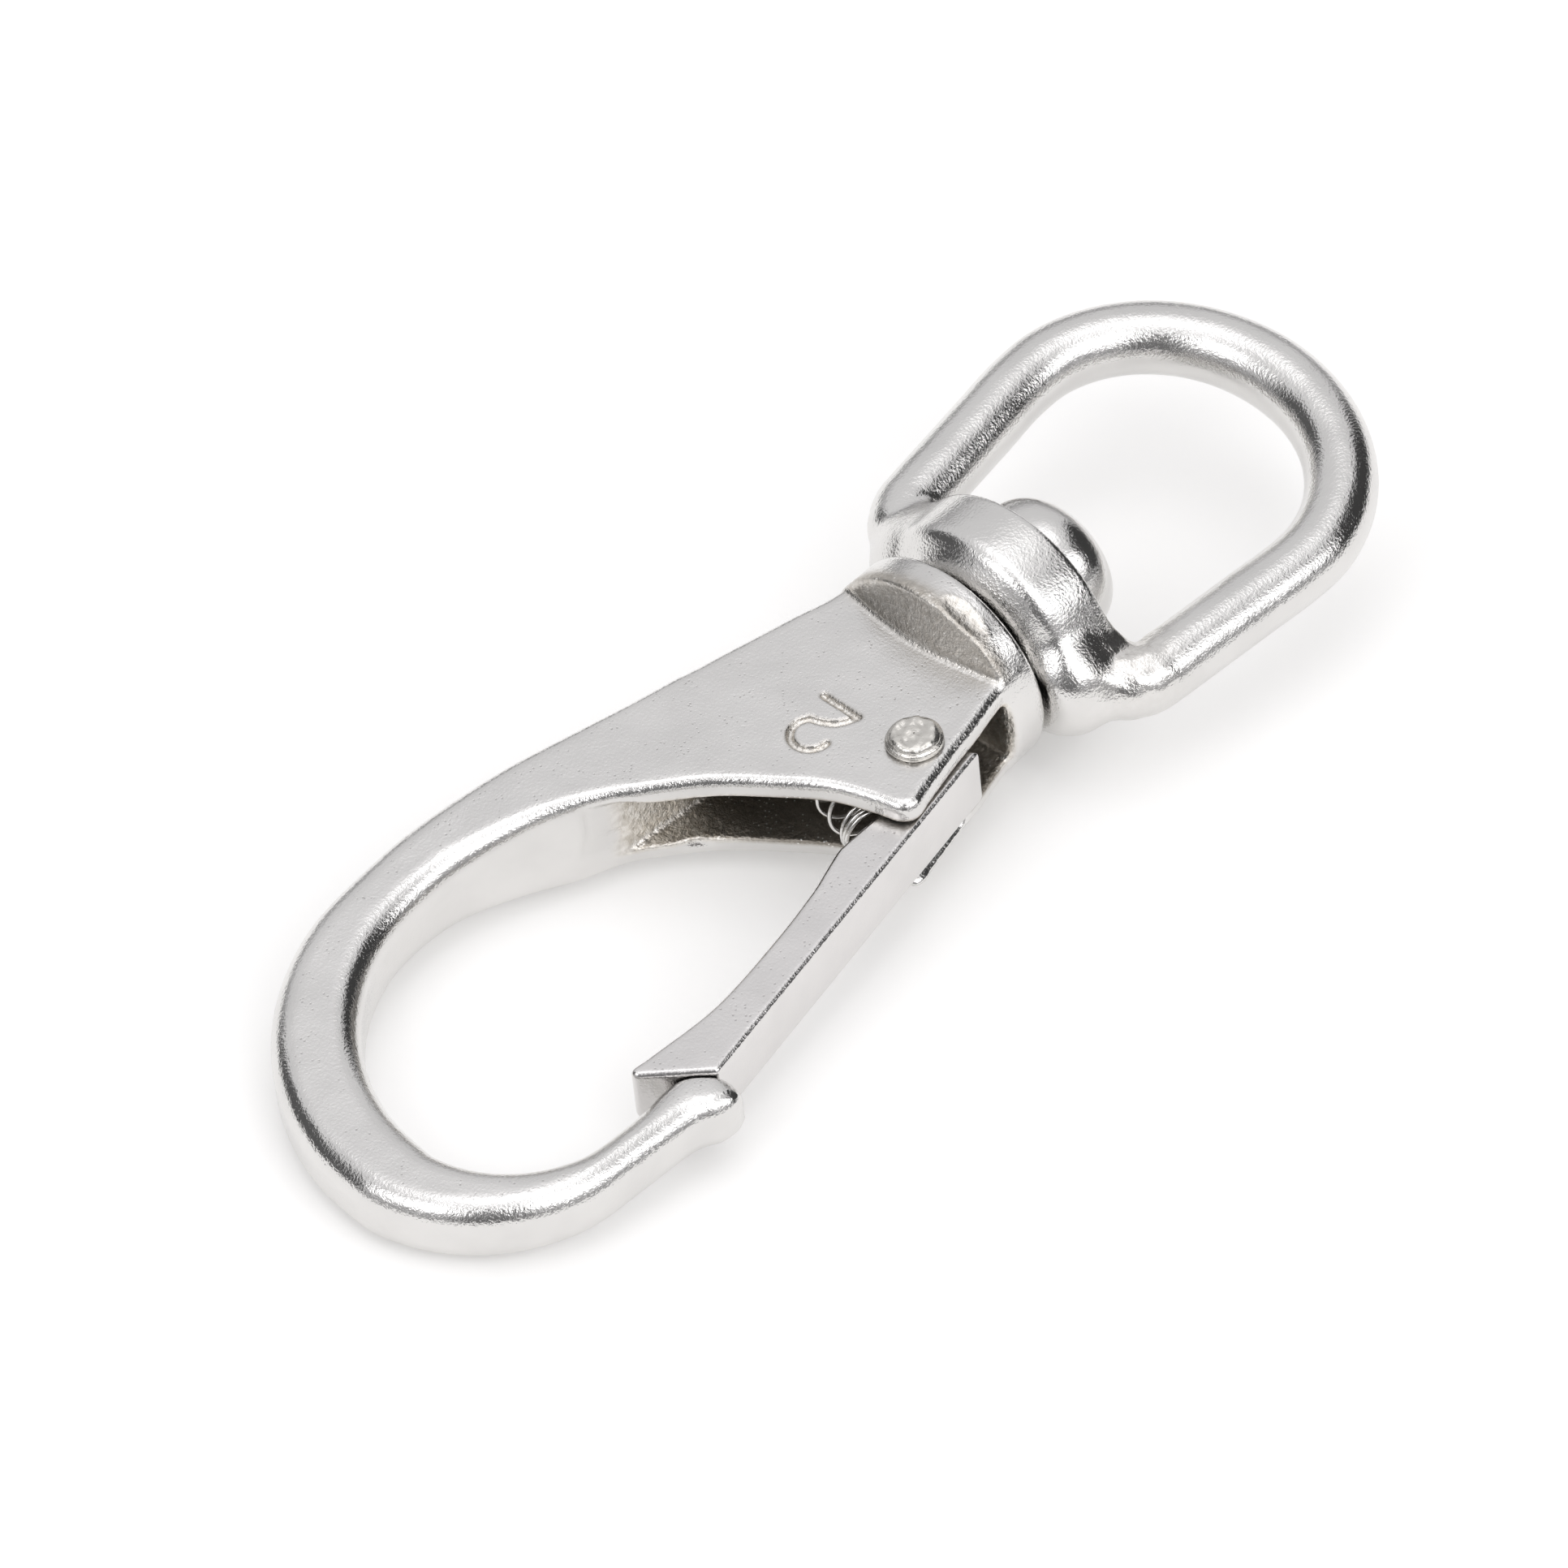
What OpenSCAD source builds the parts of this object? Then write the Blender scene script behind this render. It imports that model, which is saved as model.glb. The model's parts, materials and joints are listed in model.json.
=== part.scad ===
// Swivel snap hook: a cast hook body with a sprung gate, and a cast eye that turns on a headed pin.
//
// Every piece is drawn in the hook's own frame, in millimetres: x runs along the swivel's axis,
// with 0 at the collar's face and the eye at +x. y runs across the hook, with the gate at -y.
// z runs across the two cheeks. at_rest() then lays the hook down as it lies on a bench, on the
// crown of its bend and on the boss of its eye, with the origin under the middle of the whole.

/* [Hook body] */
// Length from the collar's face to the far side of the bend
reach = 59.5; // [58:0.5:64]
// Thickness over both cheeks
cheek_t = 8.5; // [8:0.1:9.5]
// Thickness at the crown of the bend
crown_t = 5.4; // [4.8:0.1:6.2]
// Thickness at the nose
nose_t = 4.6; // [4.2:0.1:5.4]
// Rounding of the cheeks' edges
cheek_round = 0.8; // [0.5:0.1:1.2]
// Rounding of the bend's edges
bend_round = 1.9; // [1.2:0.1:2.1]
// Width of the neck where it leaves the collar
neck_w = 14.4; // [13.6:0.2:15]
// Outer radius of the back half of the bend
back_r = 18.5; // [18:0.1:19]
// Outer radius of the front half of the bend
front_r = 13.1; // [12.8:0.1:13.4]
// Inner radius of the back half of the bend
back_bore_r = 14.9; // [14.6:0.1:15.2]
// Inner radius of the front half of the bend
front_bore_r = 8.7; // [8.4:0.1:9]
// Angle to the swivel's axis of the direction that the nose's slanted seat faces
seat_angle = 43; // [40:1:46]

/* [Collar] */
// Radius of the collar's rim
collar_r = 8.05; // [7.8:0.05:8.6]
// Length of the collar, from its face to the ridge over the cheeks
collar_l = 2.8; // [2.4:0.1:3.4]
// Length by which the scooped wall under the ridge reaches further back
scoop_l = 0.8; // [0.4:0.1:1.2]

/* [Channel between the cheeks] */
// Width of the channel
channel_w = 5.3; // [5.2:0.1:5.8]
// Thickness of the metal behind the channel, at its collar end
channel_back = 2.8; // [2.4:0.1:3.2]
// Thickness of the wall between the channel and the collar's face
channel_end = 3.0; // [2.8:0.1:3.6]

/* [Gate] */
// Thickness of the gate
gate_t = 4.8; // [4.6:0.1:5.1]
// Rounding of the gate's edges
gate_round = 0.4; // [0.2:0.1:0.6]
// Distance from the gate's pivot to its outer face
gate_face = 3.1; // [2.9:0.1:3.3]
// Width of the gate's bar, between its outer and inner faces
gate_bar = 2.9; // [2.7:0.05:3.1]
// Depth by which the gate's tip hooks inwards beyond its bar
gate_hook = 2.0; // [1.6:0.1:2.4]
// Gap between the gate's tip and the nose
seat_gap = 0.15; // [0.1:0.05:0.25]

/* [Gate rivet] */
// Distance of the rivet behind the collar's face
rivet_x = 10.15; // [10:0.05:10.8]
// Distance of the rivet from the swivel's axis
rivet_y = 5.9; // [5.7:0.1:6.1]
// Radius of the rivet's shank
rivet_r = 1.4; // [1.2:0.05:1.5]
// Radius of the rivet's heads
rivet_head_r = 1.92; // [1.8:0.02:2.1]
// Height of the rivet's heads
rivet_head_h = 1.0; // [0.6:0.1:1.2]
// Radial gap between the rivet and the cheeks, which it is peened tight in
rivet_fit = 0.02; // [0.01:0.01:0.03]
// Radial gap between the rivet and the gate that turns on it
gate_fit = 0.08; // [0.05:0.01:0.1]

/* [Gate spring] */
// Diameter of the spring's wire
spring_wire = 0.3; // [0.25:0.05:0.4]
// Mean radius of the spring's coils
spring_r = 1.9; // [1.6:0.1:2]
// Number of open turns
spring_turns = 6; // [4:1:8]
// Number of closed turns at each end
spring_closed = 2; // [1:1:3]

/* [Swivel] */
// Radius of the swivel pin's shank
pin_r = 2.6; // [2.3:0.1:2.8]
// Largest radius of the swivel pin's head
pin_head_r = 5.3; // [5:0.05:5.5]
// Thickness of the swivel pin's head
pin_head_l = 5.6; // [5:0.1:6.4]
// Radial gap between the swivel pin and the collar, which it is peened tight in
pin_fit = 0.02; // [0.01:0.01:0.03]
// Radial gap between the swivel pin and the boss that turns on it
swivel_fit = 0.1; // [0.05:0.01:0.1]
// Gap between the collar's face and the boss
swivel_gap = 0.95; // [0.5:0.05:1.3]
// Gap between the boss and the pin's head
head_gap = 0.18; // [0.1:0.02:0.4]

/* [Eye] */
// Largest radius of the boss
boss_r = 8.4; // [8.2:0.05:9]
// Thickness of the boss
boss_l = 5.8; // [5.4:0.1:6.2]
// Distance from the boss's far face to the middle of the bow's arc
eye_reach = 14.6; // [14:0.1:16]
// Radius of the bow's arc, at the middle of its wire
bow_r = 12.18; // [11.8:0.02:13]
// Angle by which each leg of the bow leans in towards the boss
leg_lean = 6.2; // [3:0.1:7]
// Angle by which the cast bow stands askew on its boss
bow_skew = 0.8; // [0:0.1:3]
// Radius of the wire at the top of the bow
bow_wire_r = 2.6; // [2.4:0.05:2.8]
// Radius of the wire along the legs
leg_wire_r = 2.42; // [2.3:0.02:2.6]
// Angle that the eye is turned by about the swivel's axis as it lies
eye_roll = 5.5; // [0:0.5:12]

/* [Size number] */
// Height of the size number on the cheek
digit_h = 4.7; // [3.5:0.1:5.5]
// Width of the number's strokes
digit_stroke = 0.5; // [0.4:0.05:0.7]
// Depth of the number's strokes
digit_depth = 0.25; // [0.15:0.05:0.35]

/* [Hidden] */
$fn = 64;
over = 1; // how far a cutting solid runs past what it cuts

// The bend is four arcs: [x, y] of each centre, with x counted from the crown.
back_arc = [18.5, -2.3];
front_arc = [13.0, -1.3];
back_bore_arc = [20.55, -3.5];
front_bore_arc = [14.25, -2.7];

// Where the pieces are, along x.
crown_x = -reach;
pivot = [-rivet_x, -rivet_y];
boss_x0 = swivel_gap;
boss_x1 = boss_x0 + boss_l;
head_x0 = boss_x1 + head_gap;
bow_x = boss_x1 + eye_reach;

// How the hook lies: pitched about y until the crown and the boss touch the ground together.
boss_foot = [boss_x0 + 1.9, boss_r - 0.12]; // where the boss meets the ground
crown_foot_x = crown_x + bend_round; // where the crown's flat underside ends
pitch = atan((boss_foot[1] - crown_t / 2) / (boss_foot[0] - crown_foot_x));
foot_z = boss_foot[0] * sin(pitch) - boss_foot[1] * cos(pitch);

// Extent of the whole hook on the ground, for the origin under its middle.
bow_stretch = 0.93; // the bow's arc is a little flatter than round along x
bow_top_x = bow_x + bow_stretch * bow_r;
far_x = bow_top_x * cos(pitch) + bow_wire_r;
near_x = (crown_x + bend_round) * cos(pitch) - bend_round - (crown_t / 2 - bend_round) * sin(pitch);
back_y = back_r + back_arc[1];
nose_out_y = -15.75; // outer side of the nose

// ---- curves -------------------------------------------------------------------------------

// Point at an angle on a circle.
function on_arc(centre, r, a) = centre + r * [cos(a), sin(a)];

// Smooth curve through rows of numbers (Catmull-Rom), with n steps between rows.
function between(a, b, c, d, t) =
    0.5 * (2 * b + (c - a) * t + (2 * a - 5 * b + 4 * c - d) * t * t
        + (3 * b - a - 3 * c + d) * t * t * t);
function smooth(rows, n) = let (last = len(rows) - 1) [
    for (k = [0 : last - 1], s = [0 : n - 1])
        between(rows[max(k - 1, 0)], rows[k], rows[k + 1], rows[min(k + 2, last)], s / n),
    rows[last]
];

// One ring of a bar's section: a rounded rectangle from the outer point to the inner point,
// standing on the plan. Row: [outer x, outer y, inner x, inner y, half thickness, rounding].
corner_steps = 3;
function ring(row) =
    let (
        o = [row[0], row[1]], i = [row[2], row[3]],
        half_w = norm(o - i) / 2, half_t = row[4],
        r = min(row[5], 0.96 * half_w, 0.96 * half_t),
        out = (o - i) / (2 * half_w), middle = (o + i) / 2,
        side = [1, -1, -1, 1], face = [1, 1, -1, -1]
    ) [
        for (c = [0 : 3], s = [0 : corner_steps])
            let (
                a = 90 * (c + s / corner_steps),
                across = side[c] * (half_w - r) + r * cos(a),
                p = middle + out * across
            ) [p[0], p[1], face[c] * (half_t - r) + r * sin(a)]
    ];

// The same ring, gone round the other way, for a bar whose outer side is on its right.
function turned_ring(row) = let (g = ring(row), n = len(g)) [for (j = [n - 1 : -1 : 0]) g[j]];

// Closed skin over a list of rings that all have the same number of points.
module skin(rings) {
    n = len(rings[0]);
    last = len(rings) - 1;
    polyhedron(
        points = [for (g = rings, p = g) p],
        faces = concat(
            [[for (j = [0 : n - 1]) j]],
            [[for (j = [n - 1 : -1 : 0]) last * n + j]],
            [for (k = [0 : last - 1], j = [0 : n - 1])
                [k * n + j, (k + 1) * n + j, k * n + (j + 1) % n]],
            [for (k = [0 : last - 1], j = [0 : n - 1])
                [(k + 1) * n + j, (k + 1) * n + (j + 1) % n, k * n + (j + 1) % n]]
        ),
        convexity = 8
    );
}

// ---- placing --------------------------------------------------------------------------------

// Lays the hook down: pitched, on the ground, with the origin under its middle.
module at_rest()
    translate([-(near_x + far_x) / 2, -(back_y + nose_out_y) / 2, -foot_z])
        rotate([0, -pitch, 0])
            children();

// Solid of revolution about x, from a profile of [x, radius] points.
module turned(profile)
    rotate([90, 0, 90])
        rotate_extrude()
            polygon([for (p = profile) [p[1], p[0]]]);

// ---- hook body --------------------------------------------------------------------------------

half_cheek = cheek_t / 2;
half_crown = crown_t / 2;
half_nose = nose_t / 2;
half_neck = neck_w / 2;

// The neck and the cheeks, whose x is counted from the collar: the back's edge is the outer
// side, and the gate's side, the cheek's corner and the lip of the channel are the inner one.
cheek_rows = [
    for (p = [
        [-1.0, half_neck - 0.2, -1.0, 0.2 - half_neck],
        [-3.9, half_neck + 0.1, -3.9, -half_neck - 0.2],
        [-6.6, half_neck + 0.9, -6.6, -half_neck - 0.8],
        [-9.6, half_neck + 1.7, -9.4, -half_neck - 1.3],
        [-12.2, half_neck + 2.4, -12.4, -half_neck - 1.95],
        [-13.8, half_neck + 2.8, -14.0, -half_neck - 2.3],
        [-14.8, half_neck + 3.1, -15.0, -half_neck - 1.6],
        [-15.6, half_neck + 3.35, -15.5, -half_neck + 0.2],
        [-17.0, half_neck + 3.7, -16.5, -half_neck + 3.1],
        [-19.2, half_neck + 4.25, -18.5, -half_neck + 6.2],
        [-21.6, half_neck + 4.95, -20.8, -half_neck + 9.3]
    ]) concat(p, [half_cheek, cheek_round])
];

// The back between the cheeks and the bend, whose x is counted from the crown.
back_rows = [
    [35.2, 13.0, 35.9, 4.75, half_cheek - 0.02, cheek_round],
    [31.8, 14.15, 33.0, 7.1, half_cheek - 0.12, cheek_round + 0.2],
    [28.4, 15.1, 29.6, 9.15, half_cheek - 0.4, cheek_round + 0.4],
    [25.0, 15.85, 25.8, 10.6, half_cheek - 0.75, bend_round - 0.4],
    [21.4, 16.2, 22.4, 11.35, half_cheek - 1.0, bend_round - 0.2]
];

// Half thickness round the bend: from the back through the crown to the front.
function bend_half_t(a) =
    a < 180 ? half_crown + 0.5 * pow((180 - a) / 90, 1.3)
            : half_crown + (half_nose + 0.15 - half_crown) * (a - 180) / 90;

bend_rows = [
    for (a = [99 : 13 : 177])
        concat(on_arc(back_arc, back_r, a), on_arc(back_bore_arc, back_bore_r, a),
            [bend_half_t(a), bend_round]),
    for (a = [190 : 13 : 255])
        concat(on_arc(front_arc, front_r, a), on_arc(front_bore_arc, front_bore_r, a),
            [bend_half_t(a), bend_round])
];

// The nose, whose x is counted from the crown. Its inner side is cut to the seat's slant.
nose_rows = [
    [13.4, -14.38, 14.9, -11.38, half_nose + 0.15, bend_round],
    [16.0, -14.6, 16.9, -11.4, half_nose + 0.05, bend_round - 0.1],
    [18.2, -14.85, 18.6, -11.3, half_nose, bend_round - 0.2],
    [19.6, nose_out_y + 0.2, 20.4, -11.5, half_nose, bend_round - 0.2],
    [20.9, nose_out_y, 21.7, -12.6, half_nose - 0.15, bend_round - 0.3],
    [21.8, nose_out_y + 0.3, 22.2, -13.8, half_nose - 0.9, bend_round - 1.0]
];

function from_crown(rows) = [
    for (q = rows) [q[0] + crown_x, q[1], q[2] + crown_x, q[3], q[4], q[5]]
];

body_rows = concat(cheek_rows, from_crown(concat(back_rows, bend_rows, nose_rows)));

// The seat: a point on the nose's slanted face, the direction out of the nose, and the
// direction down the slant to the nose's outer side.
seat = [crown_x + 20.0, -12.05];
seat_out = [cos(seat_angle), sin(seat_angle)];
seat_down = [sin(seat_angle), -cos(seat_angle)];

module collar()
    turned([
        [-collar_l - scoop_l, 0],
        [-collar_l - scoop_l, half_cheek],
        [-collar_l, collar_r - 0.35],
        [-2 * collar_l / 3, collar_r - 0.12],
        [-collar_l / 3, collar_r],
        [-0.25, collar_r - 0.04],
        [0, collar_r - 0.3],
        [0, 0]
    ]);

// The channel runs between the cheeks from the collar's wall to where its straight back comes
// out at the lip. The metal behind it grows thicker from the collar to the lip.
channel_lip = [-26.4, half_neck + 0.1];
channel_rear = [-channel_end, half_neck - channel_back];
module channel()
    linear_extrude(height = channel_w, center = true)
        polygon([
            channel_lip,
            channel_rear,
            [-channel_end, -half_neck - 3],
            [-30, -half_neck - 3],
            [-30, 3]
        ]);

// Everything on the gate's side of the nose's slanted face is cut away.
module seat_cut()
    translate([seat[0], seat[1], -half_cheek])
        rotate([0, 0, seat_angle])
            translate([0, -4, 0])
                cube([6, 8, cheek_t]);

// The size number: an arc, a slope and a foot, read with the eye downwards.
digit_foot_x = -10.6;
digit_mid_y = -0.1;
digit_r = 1.4;
module size_number()
    translate([digit_foot_x, digit_mid_y, half_cheek - digit_depth]) {
        head = [digit_r - digit_h, 0];
        slope_end = head + digit_r * [sin(40), cos(40)];
        slope = slope_end - [-0.1, -digit_r];
        translate(head)
            rotate([0, 0, 50])
                rotate_extrude(angle = 225)
                    translate([digit_r - digit_stroke / 2, 0])
                        square([digit_stroke, digit_depth + over]);
        translate([-0.1, -digit_r, 0])
            rotate([0, 0, atan2(slope[1], slope[0])])
                translate([0, -digit_stroke / 2, 0])
                    cube([norm(slope), digit_stroke, digit_depth + over]);
        translate([-digit_stroke / 2, -digit_r - digit_stroke / 2, 0])
            cube([digit_stroke, 2 * digit_r + 0.6, digit_depth + over]);
    }

module hook_body()
    color("Gainsboro")
        at_rest()
            difference() {
                union() {
                    skin([for (row = smooth(body_rows, 2)) turned_ring(row)]);
                    collar();
                }
                channel();
                seat_cut();
                size_number();
                translate([pivot[0], pivot[1], -half_cheek - over])
                    cylinder(r = rivet_r + rivet_fit, h = cheek_t + 2 * over);
                translate([-channel_end - over, 0, 0])
                    rotate([0, 90, 0])
                        cylinder(r = pin_r + pin_fit, h = channel_end + 2 * over);
            }

// ---- gate -------------------------------------------------------------------------------------

// The gate's own directions: along from the pivot to the tip, and out to its outer face.
tip_drop = 2.25; // how far down the seat's slant the gate's outer corner is
tip = seat + seat_gap * seat_out + tip_drop * seat_down;
gate_turn = atan2(tip[1] - pivot[1], tip[0] - pivot[0]) + 360 - asin(gate_face / norm(tip - pivot));
gate_l = sqrt(pow(norm(tip - pivot), 2) - pow(gate_face, 2));
along = [cos(gate_turn), sin(gate_turn)];
outward = [-along[1], along[0]];
function on_gate(u, v) = pivot + u * along + v * outward;

// The gate's end is parallel to the seat, so its hooked inner corner reaches further.
end_slant = (seat_down * along) / (seat_down * outward);
hook_l = gate_l - (gate_bar + gate_hook) * end_slant;

// The gate from its heel to its tip. Row: distance along of the outer side, then distance
// along and height of the inner side: the heel, the knuckle round the rivet, the seat of the
// spring, the bar and the hooked tip.
heel_l = 2.7;
knuckle_r = 2.25;
bar_v = gate_face - gate_bar;
spring_seat = [5.3, 0.2];
seat_end = spring_seat + [2.9, -0.7]; // where the spring's seat ends on the bar
bar_start = 1.6 * seat_end[0]; // where the bar's inner side starts to run straight
bar_end = 0.62 * gate_l; // where it starts to curve in to the hooked tip
gate_line = [
    [-heel_l, 0.2 - heel_l, -0.4],
    [-0.7 * heel_l, -0.86 * knuckle_r, -0.7 * knuckle_r],
    [0, 0, -knuckle_r],
    [0.75 * knuckle_r, 0.75 * knuckle_r, -0.7 * knuckle_r],
    [knuckle_r + 0.2, knuckle_r + 0.2, 0.1],
    [spring_seat[0] - 1.6, spring_seat[0] - 1.6, spring_seat[1] + 0.45],
    [spring_seat[0], spring_seat[0], spring_seat[1]],
    [seat_end[0], seat_end[0], seat_end[1]],
    [seat_end[0] + 1.0, seat_end[0] + 1.0, seat_end[1] - 0.15],
    [bar_start - 2.0, bar_start - 2.0, bar_v - 0.05],
    [bar_start, bar_start, bar_v],
    [bar_end, bar_end, bar_v],
    [gate_l - 4.6, gate_l - 4.6, bar_v - 0.15 * gate_hook],
    [gate_l - 1.4, hook_l - 2.9, bar_v - 0.58 * gate_hook],
    [gate_l, hook_l, bar_v - gate_hook]
];
gate_rows = [
    for (g = gate_line)
        concat(on_gate(g[0], gate_face), on_gate(g[1], g[2]), [gate_t / 2, gate_round])
];

module gate()
    color("Silver")
        at_rest()
            difference() {
                skin([for (row = smooth(gate_rows, 2)) ring(row)]);
                translate([pivot[0], pivot[1], -gate_t / 2 - over])
                    cylinder(r = rivet_r + gate_fit, h = gate_t + 2 * over);
            }

// ---- gate rivet ---------------------------------------------------------------------------------

module rivet_head()
    rotate_extrude()
        polygon([
            [0, 0],
            [rivet_head_r - 0.08, 0],
            [rivet_head_r, 0.3 * rivet_head_h],
            [rivet_head_r - 0.08, 0.7 * rivet_head_h],
            [rivet_head_r - 0.4, rivet_head_h - 0.06],
            [rivet_head_r - 0.8, rivet_head_h],
            [0, rivet_head_h]
        ]);

module gate_rivet()
    color("LightGray")
        at_rest()
            translate([pivot[0], pivot[1], 0]) {
                cylinder(r = rivet_r, h = cheek_t, center = true);
                for (end = [0, 180])
                    rotate([end, 0, 0])
                        translate([0, 0, half_cheek])
                            rivet_head();
            }

// ---- gate spring --------------------------------------------------------------------------------

// The spring stands on its seat on the gate and pushes on the back of the channel. It leans
// towards the collar, so its flat end touches the seat on one side only.
spring_lean = 70; // angle of the spring's axis to x
seat_faces = 85; // angle to x of the direction that the seat faces
spring_axis = [cos(spring_lean), sin(spring_lean)];
spring_play = 0.1; // gap at each end of the spring
spring_out_r = spring_r + spring_wire / 2;
spring_foot = on_gate(spring_seat[0], spring_seat[1])
    + (spring_wire / 2 + spring_play + spring_out_r * tan(seat_faces - spring_lean)) * spring_axis;

// Its length is what is left to the back of the channel, which is slanted to its flat end.
back_slant = atan2(channel_rear[1] - channel_lip[1], channel_rear[0] - channel_lip[0]);
back_normal = [-sin(back_slant), cos(back_slant)];
spring_room = ((channel_rear - spring_foot) * back_normal) / (spring_axis * back_normal);
spring_l = spring_room - spring_play - spring_wire / 2
    - spring_out_r * abs(tan(90 + back_slant - spring_lean));
closed_pitch = spring_wire + 0.12; // the end turns nearly touch
closed_l = spring_closed * closed_pitch;
open_pitch = (spring_l - 2 * closed_l) / spring_turns;
all_turns = spring_turns + 2 * spring_closed;

// Distance up the spring after t turns.
function spring_rise(t) =
    t < spring_closed ? t * closed_pitch
    : t > spring_closed + spring_turns ? spring_l - (all_turns - t) * closed_pitch
    : closed_l + (t - spring_closed) * open_pitch;

wire_sides = 6;
turn_steps = 14;
module gate_spring()
    color("White")
        at_rest()
            translate([spring_foot[0], spring_foot[1], 0])
                rotate([0, 90, spring_lean])
                    skin([
                        for (k = [0 : turn_steps * all_turns])
                            let (t = k / turn_steps, a = 360 * t, h = spring_rise(t))
                            [for (j = [0 : wire_sides - 1])
                                let (
                                    b = -360 * j / wire_sides,
                                    r = spring_r + spring_wire / 2 * cos(b)
                                ) [r * cos(a), r * sin(a), h + spring_wire / 2 * sin(b)]]
                    ]);

// ---- swivel pin ---------------------------------------------------------------------------------

module swivel_pin()
    color("Silver")
        at_rest()
            turned([
                [-channel_end + 0.1, 0],
                [-channel_end + 0.1, pin_r],
                [head_x0, pin_r],
                [head_x0, pin_head_r - 0.6],
                [head_x0 + 0.08 * pin_head_l, pin_head_r - 0.3],
                [head_x0 + 0.22 * pin_head_l, pin_head_r - 0.08],
                [head_x0 + 0.42 * pin_head_l, pin_head_r],
                [head_x0 + 0.58 * pin_head_l, pin_head_r - 0.15],
                [head_x0 + 0.7 * pin_head_l, pin_head_r - 0.5],
                [head_x0 + 0.8 * pin_head_l, pin_head_r - 1.05],
                [head_x0 + 0.89 * pin_head_l, pin_head_r - 1.9],
                [head_x0 + 0.95 * pin_head_l, pin_head_r - 2.9],
                [head_x0 + 0.99 * pin_head_l, pin_head_r - 4.1],
                [head_x0 + pin_head_l, 0]
            ]);

// ---- swivel eye ---------------------------------------------------------------------------------

// Half of the bow's centre line, from inside the boss through the elbow and the leg to the top,
// for a leg that leans in by an angle, as rows of [x, y, radius of the wire].
elbow_r = 3.6;
elbow_turn = 45;
elbow_x = boss_x1 + 1.25;
root_l = 3.6; // length of the straight root that runs from the elbow into the boss
function half_bow(lean) =
    let (
        leg_top = [bow_x - bow_stretch * bow_r * sin(lean), bow_r * cos(lean)],
        elbow = [elbow_x, leg_top[1] - (leg_top[0] - elbow_x) * tan(lean)],
        centre = elbow + elbow_r * [sin(lean), -cos(lean)],
        root = lean + elbow_turn,
        root_start = centre + elbow_r * [-sin(root), cos(root)]
    ) concat(
        [concat(root_start - root_l * [cos(root), sin(root)], leg_wire_r)],
        [for (t = [elbow_turn : -15 : 0])
            concat(centre + elbow_r * [-sin(lean + t), cos(lean + t)], leg_wire_r + 0.1 * t / elbow_turn)],
        [for (s = [0.35, 0.7, 1]) concat(elbow + s * (leg_top - elbow), leg_wire_r)],
        [for (a = [80 : -16 : 0])
            [bow_x + bow_stretch * bow_r * cos(a), bow_r * sin(a),
                bow_wire_r + (leg_wire_r - bow_wire_r) * a / 100]]
    );
near_half = half_bow(leg_lean - bow_skew);
bow_line = smooth(
    concat(half_bow(leg_lean + bow_skew), [for (k = [len(near_half) - 2 : -1 : 0])
        [near_half[k][0], -near_half[k][1], near_half[k][2]]]),
    2
);

bow_sides = 16;
module bow()
    skin([
        for (k = [0 : len(bow_line) - 1])
            let (
                p = bow_line[k],
                d = bow_line[min(k + 1, len(bow_line) - 1)] - bow_line[max(k - 1, 0)],
                n = [-d[1], d[0]] / norm([d[0], d[1]])
            )
            [for (j = [0 : bow_sides - 1])
                let (b = 360 * (j + 0.5) / bow_sides)
                [p[0] + p[2] * cos(b) * n[0], p[1] + p[2] * cos(b) * n[1], p[2] * sin(b)]]
    ]);

// The boss: a flat end towards the collar, a bevel up to a ridge, and a barrel to a crisp edge.
boss_ridge_x = boss_x0 + 1.5;
boss_edge = [boss_x0 + 0.3, boss_r - 1.0];
module boss()
    turned([
        [boss_x0, 0],
        [boss_x0, boss_r - 1.7],
        boss_edge,
        [boss_ridge_x, boss_r - 0.25],
        [boss_ridge_x + 0.9, boss_r - 0.05],
        [boss_x1 - 1.6, boss_r],
        [boss_x1 - 0.3, boss_r - 0.08],
        [boss_x1, boss_r - 0.4],
        [boss_x1, 0]
    ]);

module swivel_eye()
    color("Gainsboro")
        at_rest()
            rotate([eye_roll, 0, 0])
                difference() {
                    union() {
                        boss();
                        bow();
                    }
                    translate([boss_x0 - over, 0, 0])
                        rotate([0, 90, 0])
                            cylinder(r = pin_r + swivel_fit, h = boss_l + 2 * over);
                }

hook_body();
gate();
gate_rivet();
gate_spring();
swivel_pin();
swivel_eye();
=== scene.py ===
import json
import math

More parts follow.
